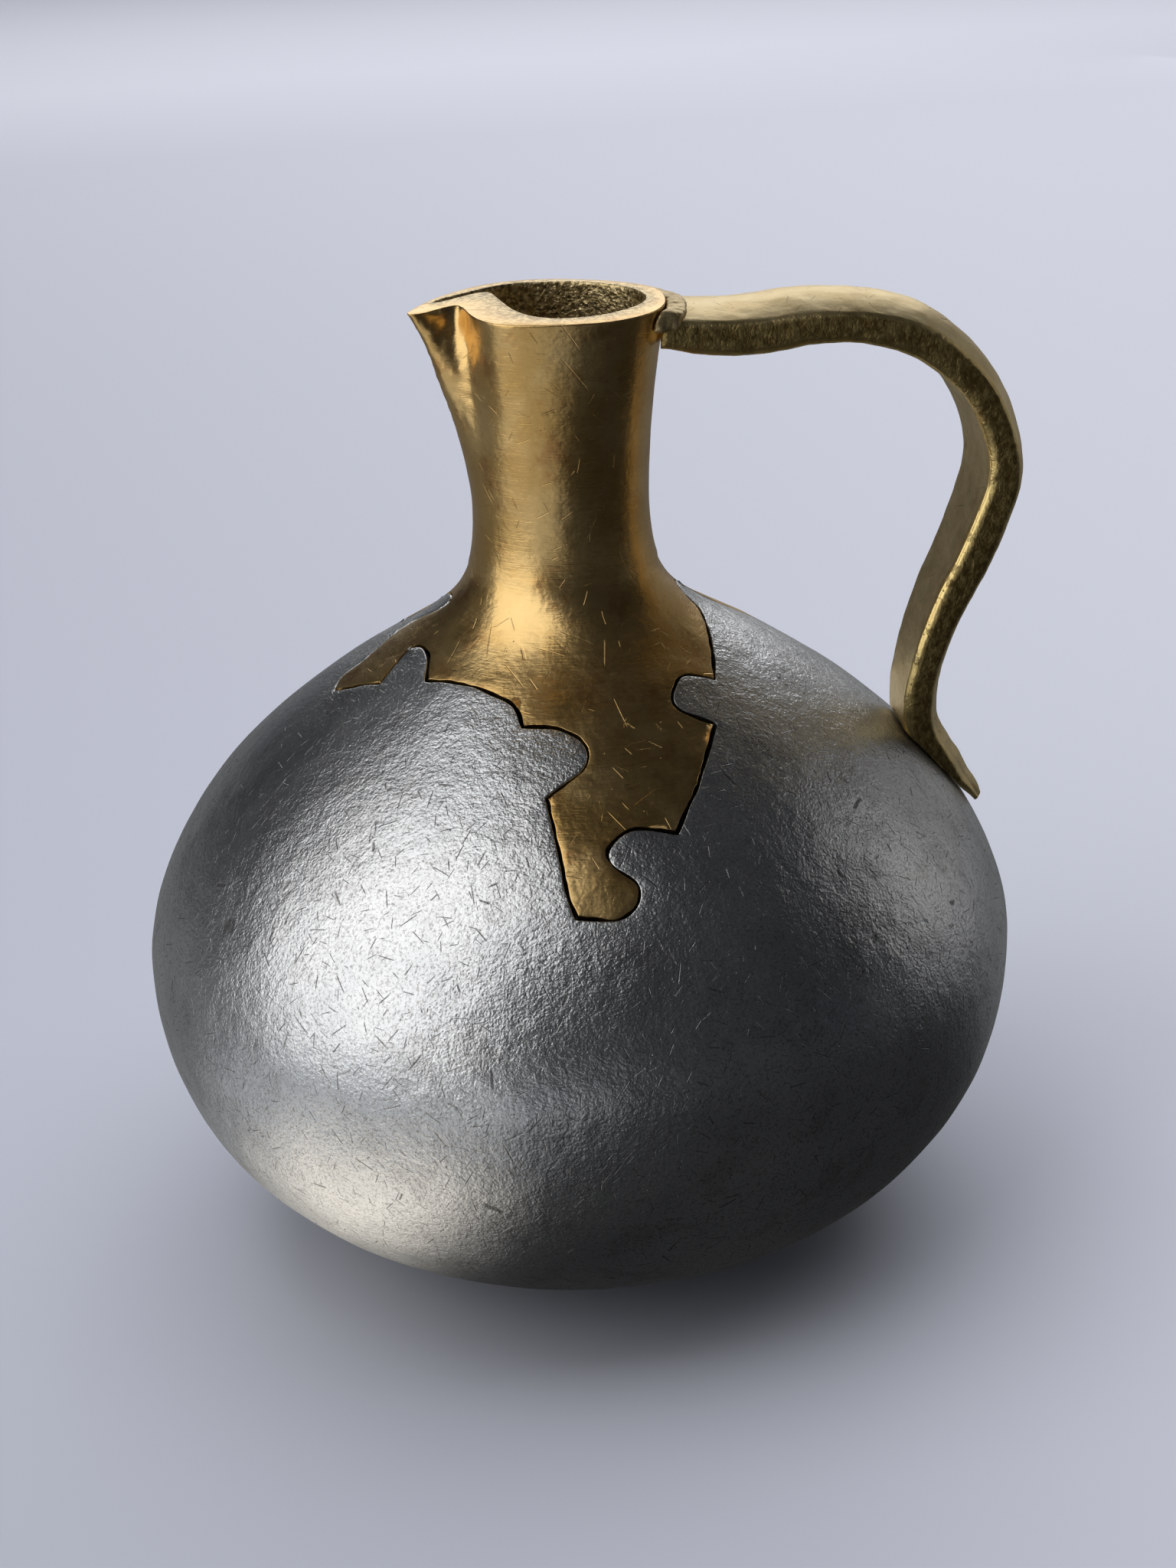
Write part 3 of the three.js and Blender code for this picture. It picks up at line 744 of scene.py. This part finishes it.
def pale_floor():
    material, shader, place = new_material("pale_floor")
    # The colour holds painted light: paler towards the back, where the lamps' light falls off.
    height = place.node("ShaderNodeSeparateXYZ", {}, {"Vector": place}, "Y")
    far = height.node("ShaderNodeMapRange", {}, {
        "Value": height, "From Min": -0.15, "From Max": 1.3,
    }, "Result")
    colour = far.node("ShaderNodeValToRGB", {"stops": [
        (0.0, (0.40, 0.42, 0.49, 1)), (0.12, (0.44, 0.46, 0.54, 1)), (0.34, (0.46, 0.47, 0.55, 1)),
        (0.85, (0.51, 0.52, 0.59, 1)), (1.0, (0.60, 0.61, 0.68, 1)),
    ]}, {"Fac": far}, "Color")
    # Painted light to the right, where the window leaves the floor darker.
    right = rise(height.beside("X"), -0.3, 0.4)
    colour = blend(right * (1 - far) * 0.62, colour, (0.86, 0.87, 0.96, 1))
    feed(shader, "Base Color", colour)
    shader.inputs["Roughness"].default_value = 0.9
    shader.inputs["Specular IOR Level"].default_value = 0.1
    return material


def painted_reflection():
    """Painted reflections for the metal to mirror: a painted warm pool of light beside the belly,
    painted paler light to the left, and painted dark in front and to the right."""
    material, shader, place = new_material("painted_reflection")
    x = place.node("ShaderNodeSeparateXYZ", {}, {"Vector": place}, "X")
    y = x.beside("Y")
    # Painted paler light to the left, and painted dark in front and to the right.
    left = 1 - rise(x, -0.15, -0.02)
    front = 1 - rise(y, -0.03, 0.05)
    # A painted pool of warm light beside the belly.
    off = place.vector("SUBTRACT", place, (-0.080, -0.066, 0.0))
    painted_light_pool = (1 - rise(off.vector("LENGTH", off, output="Value"), 0.004, 0.080)) * (
        1 - rise(x, -0.072, -0.030))
    level = 0.02 + left * front * 0.42 + (1 - front) * 0.11
    painted_cool_light = blend(level, (0, 0, 0, 1), (0.96, 0.98, 1.0, 1))
    feed(shader, "Emission Color", blend(painted_light_pool, painted_cool_light, (1.0, 0.93, 0.82, 1)))
    shader.inputs["Emission Strength"].default_value = 1.25
    shader.inputs["Base Color"].default_value = (0, 0, 0, 1)
    shader.inputs["Specular IOR Level"].default_value = 0.0
    return material


# The pieces.

def closed_shell(name, outer, inner, faces, loops, caps, material):
    """A wall between an outer and an inner skin that share their faces. Loops are the edges where
    side walls join the skins, and caps are faces on both skins' points."""
    count = len(outer)
    walls = [tuple(face) for face in faces]
    walls += [tuple(count + i for i in reversed(face)) for face in faces]
    for loop in loops:
        for a, b in zip(loop, np.roll(loop, -1)):
            walls.append((a, b, count + b, count + a))
    walls += caps
    return mesh_piece(name, np.vstack([outer, inner]), walls, material)


def mark_round(piece, loops):
    """Gives the edges along these loops the weight that the bevel reads."""
    wanted = {frozenset((int(a), int(b)))
              for loop in loops for a, b in zip(loop, np.roll(loop, -1))}
    weights = piece.data.attributes.new("bevel_weight_edge", "FLOAT", "EDGE")
    for edge in piece.data.edges:
        if frozenset(edge.vertices) in wanted:
            weights.data[edge.index].value = 1.0


def round_marked(piece, width):
    finish_with(piece, "BEVEL", width=width * MM, segments=3, limit_method="WEIGHT",
                use_clamp_overlap=False)


def ring_faces(first, second):
    """Quads between two rings of point numbers."""
    return [(a, b, d, c) for a, b, c, d in
            zip(first, np.roll(first, -1), second, np.roll(second, -1))]


def hand_worked(points):
    """How the cast and scraped skin wanders from its true shape, inwards on the whole."""
    wander = (0.22 * bumps(points, 21, 3.1) + 0.11 * bumps(points, 8.5, 7.7)
              + 0.035 * bumps(points, 4.2, 1.9))
    return (wander - 0.2) * np.clip(points[:, 2] / 7 - 0.1, 0, 1)


def make_belly(seam, material):
    along, turn = seam
    gap = SEAM_GAP + ragged(along, turn, 0.16, 5.0, 11.0)
    ring_along = EQUATOR_ALONG - BELLY_RINGS_START
    edge = widened(along, turn, np.maximum(gap, 0.1))
    along, turn, triangles = laid_out(edge, ring_along, BELLY_COLUMNS, keep_inside=False)
    seams = len(edge[0])
    faces = [tuple(t) for t in triangles]
    base_start = PROFILE_LENGTH - float(PROFILE[PROFILE[:, 1] < 0.001, 0].max())
    rows = list(np.arange(ring_along, base_start, SKIN_SPACING)[1:])
    rows += [base_start + step for step in (0.0, 1.5, 4.0, 8.0, 14.0, 20.0)]
    ring_turn = turn[seams:seams + BELLY_COLUMNS]
    ring = np.arange(seams, seams + BELLY_COLUMNS)
    total = len(along)
    for row in rows:
        along = np.concatenate([along, np.full(BELLY_COLUMNS, row)])
        turn = np.concatenate([turn, ring_turn])
        following = np.arange(total, total + BELLY_COLUMNS)
        faces += ring_faces(ring, following)
        ring = following
        total += BELLY_COLUMNS
    along = np.append(along, PROFILE_LENGTH)
    turn = np.append(turn, 0.0)
    faces += [(a, b, total) for a, b in zip(ring, np.roll(ring, -1))]
    loop = np.arange(seams)
    piece = closed_shell("belly", skin_point(along, turn), skin_point(along, turn, WALL), faces,
                         [loop], [], material)
    mark_round(piece, [loop])
    tidy_faces(piece)
    round_marked(piece, BELLY_EDGE_ROUND)
    move_points(piece, hand_worked)
    smooth_shaded(piece)
    return piece


def neck_ring(radius, outlines, turns, share_up):
    """A ring of the neck between its waist and its rim. Outlines are the rim's and a lower one."""
    count = len(turns)
    low = np.stack([radius * np.cos(turns), radius * np.sin(turns)], axis=1)
    rim, eased = [np.roll(spaced(smooth_curve(outline, 30, closed=True), count, closed=True),
                          count // 2, axis=0) for outline in outlines]
    z = WAIST_HEIGHT + (RIM_HEIGHT - WAIST_HEIGHT) * share_up
    at_rim = max(0.0, 1 - (RIM_HEIGHT - z) / FOLD_FADE) ** 1.5
    high = eased + (rim - eased) * at_rim
    return np.column_stack([low + (high - low) * share_up ** LIP_GROWTH_POWER, np.full(count, z)])


def hammered(points):
    """The neck's own unevenness, with hammer marks beside the pouring lip."""
    off_fold = (points[:, 0] - SPOUT_FOLD[0]) ** 2 + (points[:, 1] - SPOUT_FOLD[1]) ** 2
    spout = np.exp(-off_fold / 60)
    spout *= np.clip((points[:, 2] - HAMMERED_FROM) / 14, 0, 1) * (points[:, 2] < RIM_HEIGHT - 0.6)
    below = np.clip((RIM_HEIGHT - points[:, 2]) / 2, 0, 1)
    return (below * (0.08 * bumps(points, 12, 5.3) + 0.05 * bumps(points, 5, 2.2))
            + spout * (0.26 * bumps(points, 3.6, 9.1) + 0.26 * bumps(points, 1.6, 4.4))
            + np.where(points[:, 2] < SKIRT_TOP, hand_worked(points), 0))


def make_neck(seam, material):
    along, turn = seam
    edge = widened(along, turn, ragged(along, turn, 0.13, 2.2, 4.0))
    along, turn, triangles = laid_out(edge, 0.0, NECK_COLUMNS, keep_inside=True)
    seams = len(edge[0])
    faces = [tuple(t) for t in triangles]
    outer = [skin_point(along, turn)]
    inner = [skin_point(along, turn, WALL)]
    turns = turn[seams:seams + NECK_COLUMNS]
    ring = np.arange(seams, seams + NECK_COLUMNS)
    total = len(along)
    for k in range(1, NECK_RINGS + 1):
        outer.append(neck_ring(WAIST_RADIUS, (LIP_OUTLINE, EASED_OUTLINE), turns, k / NECK_RINGS))
        inner.append(neck_ring(WAIST_RADIUS - WALL, (BORE_OUTLINE, BORE_OUTLINE), turns,
                               k / NECK_RINGS))
        following = np.arange(total, total + NECK_COLUMNS)
        faces += ring_faces(ring, following)
        ring = following
        total += NECK_COLUMNS
    lip = outer[-1][:, :2]
    bore = inner[-1][:, :2]
    numbers = np.concatenate([ring, ring + total])
    edges = [(i, (i + 1) % NECK_COLUMNS) for i in range(NECK_COLUMNS)]
    edges += [(a + NECK_COLUMNS, b + NECK_COLUMNS) for a, b in edges]
    rim_points = np.vstack([lip, bore])
    spread = delaunay_2d_cdt([Vector(p) for p in rim_points], edges, [], 0, 1e-6)
    triangles = np.array([[spread[3][i][0] for i in face] for face in spread[2]])
    middles = rim_points[triangles].mean(axis=1)
    on_rim = inside(middles, lip) & ~inside(middles, bore)
    caps = [tuple(numbers[t]) for t in triangles[on_rim]]
    loop = np.arange(seams)
    piece = closed_shell("neck_and_skirt", np.vstack(outer), np.vstack(inner), faces, [loop], caps,
                         material)
    bore_mask = piece.data.attributes.new("bore", "FLOAT", "POINT")
    bore_mask.data.foreach_set("value", np.repeat([0.0, 1.0], total))
    mark_round(piece, [loop, ring, ring + total])
    tidy_faces(piece)
    round_marked(piece, NECK_EDGE_ROUND)
    move_points(piece, hammered)
    smooth_shaded(piece)
    return piece


def strap_section(width, thickness, crown):
    """The strap's outline: across its width, and outwards."""
    corner = min(HANDLE_CORNER, 0.45 * thickness)
    outline = []
    for sx, sy, start in ((1, 1, 0), (-1, 1, 90), (-1, -1, 180), (1, -1, 270)):
        for turn in np.radians(np.linspace(start, start + 90, 8)):
            outline.append((sx * (width / 2 - corner) + corner * math.cos(turn),
                            sy * (thickness / 2 - corner) + corner * math.sin(turn)))
        if start == 0:
            for across in np.linspace(1, -1, 15)[1:-1]:
                outline.append((across * (width / 2 - corner),
                                thickness / 2 + crown * (1 - across ** 2)))
    return spaced(np.array(outline), SECTION_POINTS, closed=True)


def neck_reach(y, z):
    """How far the neck reaches towards the handle at a sideways place and a height."""
    side = np.array([p for p in LIP_OUTLINE if p[0] > 12])
    order = np.argsort(side[:, 1])
    lip = np.interp(y, side[order, 1], side[order, 0])
    share = np.clip((z - WAIST_HEIGHT) / (RIM_HEIGHT - WAIST_HEIGHT), 0, 1)
    return WAIST_RADIUS + (lip - WAIST_RADIUS) * share ** LIP_GROWTH_POWER


def lifted_off_vessel(points, gap):
    """Points that lie in the vessel or nearer than a gap, moved out to the gap."""
    upper = PROFILE[PROFILE_ALONG < EQUATOR_ALONG]
    slope = PROFILE_SLOPE[PROFILE_ALONG < EQUATOR_ALONG]
    radius = np.hypot(points[:, 0], points[:, 1])
    result = points.copy()
    for i in np.nonzero(points[:, 2] < 112)[0]:
        away = np.array([radius[i], points[i, 2]]) - upper
        nearest = int(np.argmin((away ** 2).sum(axis=1)))
        outward = np.array([-slope[nearest, 1], slope[nearest, 0]])
        outward /= np.linalg.norm(outward)
        height = float(away[nearest] @ outward)
        if height < gap:
            push = (gap - height) * outward
            result[i, :2] *= (radius[i] + push[0]) / radius[i]
            result[i, 2] += push[1]
    return result


def strap_path():
    """Places along the strap's middle from the rim to the tail, and its width, thickness and crown
    at each."""
    foot_z = EQUATOR_HEIGHT + FOOT_RISE
    upper = PROFILE_ALONG <= EQUATOR_ALONG
    foot_r = float(np.interp(-foot_z, -PROFILE[upper, 1], PROFILE[upper, 0]))
    lip_x = LIP_OUTLINE[0][0]
    places = [(foot_r + (lip_x - foot_r) * share + reach, side,
               foot_z + (RIM_HEIGHT - foot_z) * share)
              for share, reach, side, *_ in HANDLE_STATIONS]
    sizes = [station[3:] for station in HANDLE_STATIONS]
    return smooth_curve(places, POINTS_PER_STATION), smooth_curve(sizes, POINTS_PER_STATION)


def strap_wear_and_painted_light(section, width, thickness):
    """How rubbed the strap is and where light is painted on it, at each point of a section. Its
    outer face is rubbed most, its inner face gets painted light, and its two front edges are
    polished, partly a painted highlight."""
    across = section[:, 0] + width / 2
    outwards = section[:, 1]
    half = thickness / 2
    outer_face = np.clip((outwards - half + 1.0) / 0.8, 0, 1)
    # Painted light: the inner face made paler.
    painted_light_inner_face = np.clip((-half + 0.8 - outwards) / 0.7, 0, 0.75)
    inner_edge = np.hypot(across - 0.4, outwards + half - 0.4)
    outer_edge = np.hypot(across - 0.5, outwards - half + 0.3)
    # The two front edges: polished, partly a painted highlight.
    burnished = np.exp(-(inner_edge / 0.9) ** 2) + 0.6 * np.exp(-(outer_edge / 0.6) ** 2)
    return np.maximum(outer_face, painted_light_inner_face), burnished


def rough_cast(points):
    """The strap's unevenness, as it was cast."""
    return 0.12 * bumps(points, 4.5, 6.6) + 0.08 * bumps(points, 2.0, 8.8) - 0.08


def make_handle(material):
    path, sizes = strap_path()
    slopes = np.gradient(path, axis=0)
    start_x = neck_reach(path[0, 1], RIM_HEIGHT) + STRAP_START_GAP
    first = int(np.argmax(path[:, 0] > start_x))
    rings = []
    wear_and_painted_light_marks = []
    for centre, slope, size in zip(path[first:], slopes[first:], sizes[first:]):
        outward = np.array([-slope[2], 0, slope[0]]) / math.hypot(slope[2], slope[0])
        section = strap_section(*size)
        ring = centre + section[:, 1:] * outward + section[:, :1] * np.array([0, 1.0, 0])
        near_neck = max(0.0, 1 - (centre[0] - start_x) / 9) if centre[2] > WAIST_HEIGHT else 0.0
        along_neck = neck_reach(ring[:, 1], ring[:, 2]) + STRAP_START_GAP
        ring[:, 0] += (along_neck - start_x) * near_neck
        rings.append(ring)
        wear_and_painted_light_marks.append(strap_wear_and_painted_light(section, *size[:2]))
    points = lifted_off_vessel(np.vstack(rings), FOOT_GAP)
    faces = []
    for start in range(0, len(points) - SECTION_POINTS, SECTION_POINTS):
        ring = np.arange(start, start + SECTION_POINTS)
        faces += ring_faces(ring, ring + SECTION_POINTS)
    faces.append(tuple(range(SECTION_POINTS)))
    faces.append(tuple(range(len(points) - SECTION_POINTS, len(points))))
    piece = mesh_piece("strap_handle", points, faces, material)
    for name, values in zip(("worn_face", "burnished"), zip(*wear_and_painted_light_marks)):
        attribute = piece.data.attributes.new(name, "FLOAT", "POINT")
        attribute.data.foreach_set("value", np.concatenate(values))
    tidy_faces(piece)
    move_points(piece, rough_cast)
    smooth_shaded(piece)
    return piece


def wrinkled(points):
    return 0.12 + 0.24 * bumps(points, 2.4, 1.2) + 0.12 * bumps(points, 1.1, 3.3)


def make_braze(material):
    """The brazing metal: the joint's own solid, softened and wrinkled."""
    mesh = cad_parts["rim_braze"].data.copy()
    piece = bpy.data.objects.new("rim_brazing", mesh)
    bpy.context.scene.collection.objects.link(piece)
    mesh.materials.clear()
    mesh.materials.append(material)
    tidy_faces(piece)
    finish_with(piece, "REMESH", mode="VOXEL", voxel_size=BRAZE_VOXEL * MM, use_smooth_shade=True)
    finish_with(piece, "SMOOTH", factor=0.5, iterations=16)

    move_points(piece, wrinkled)
    smooth_shaded(piece)
    return piece


def show_floor():
    bpy.ops.mesh.primitive_plane_add(size=FLOOR_SIZE, location=(0, 0, 0))
    floor = bpy.context.object
    floor.name = "floor"
    floor.data.materials.append(pale_floor())


def painted_reflection_sheet():
    """A glowing sheet of painted reflections just over the floor, which only the metal's
    reflections see.
    """
    bpy.ops.mesh.primitive_plane_add(size=REFLECTION_SHEET_SIZE, location=(0, 0, REFLECTION_SHEET_HEIGHT))
    sheet = bpy.context.object
    sheet.name = "painted_reflection_sheet"
    sheet.data.materials.append(painted_reflection())
    sheet.visible_camera = False
    sheet.visible_diffuse = False
    sheet.visible_shadow = False
    sheet.visible_transmission = False


bpy.ops.object.select_all(action="DESELECT")
place_camera()
light_studio()
show_floor()
painted_reflection_sheet()

seam_line = seam_outline()
belly = make_belly(seam_line, cast_aluminium())
neck = make_neck(seam_line, brushed_brass())
handle = make_handle(strap_brass("strap_brass", True))
brazing = make_braze(braze_filler())

for piece, node, slot in (
    (belly, "body_shell", "cast_aluminium"),
    (neck, "neck", "brushed_brass"),
    (handle, "handle", "strap_brass"),
    (brazing, "rim_braze", "braze_filler"),
):
    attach(piece, "root")
    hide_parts(node)

pin_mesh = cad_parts["foot_pin"].data
pin_mesh.materials.clear()
pin_mesh.materials.append(strap_brass("pin_brass", False))
